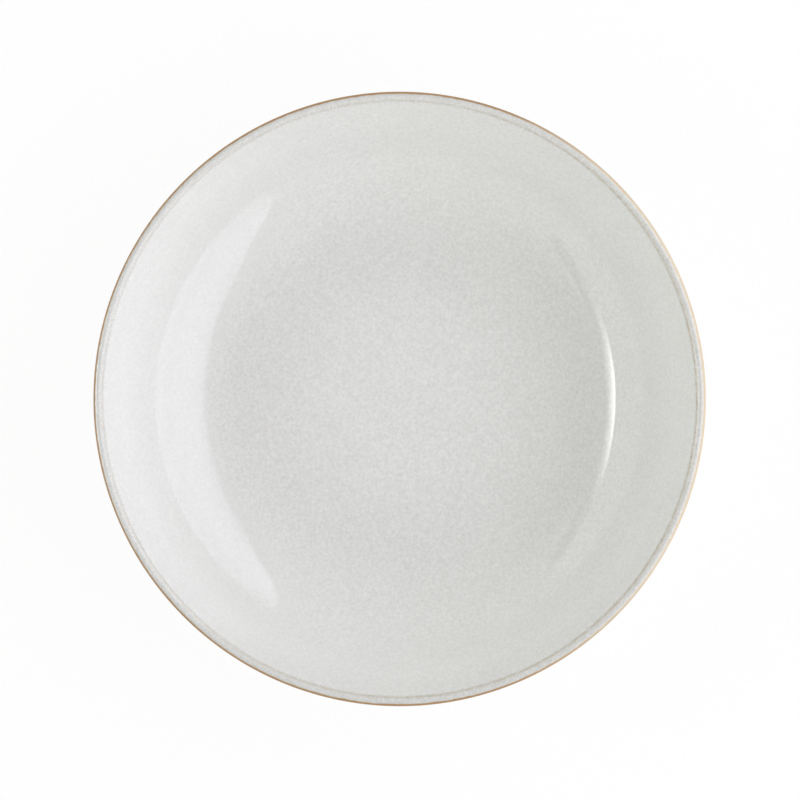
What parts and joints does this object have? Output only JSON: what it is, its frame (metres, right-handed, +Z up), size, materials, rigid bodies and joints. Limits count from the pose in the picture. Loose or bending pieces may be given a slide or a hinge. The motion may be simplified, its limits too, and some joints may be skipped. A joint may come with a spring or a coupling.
{
  "type": "pasta bowl",
  "caption": "Wide shallow round stoneware bowl with a flat well, coved wall, plain rim edged in tan, and a bare foot ring, glazed pale grey inside and out, for serving pasta.",
  "frame": {"origin": "centre of the foot ring, on the surface that the bowl stands on", "axes": "+Z up along the bowl's axis of turning, with the mouth upwards; X and Y are free because the bowl is round"},
  "size_m": [0.22, 0.22, 0.05],
  "materials": {
    "clay": "matte",
    "glaze": "gloss",
    "iron_glaze": "gloss"
  },
  "bodies": {
    "root": {"clay_body": "clay", "inside_glaze": "glaze", "inner_rim_line": "iron_glaze", "rim_glaze": "glaze", "outer_rim_line": "iron_glaze", "outside_glaze": "glaze", "underside_glaze": "glaze"}
  },
  "joints": []
}
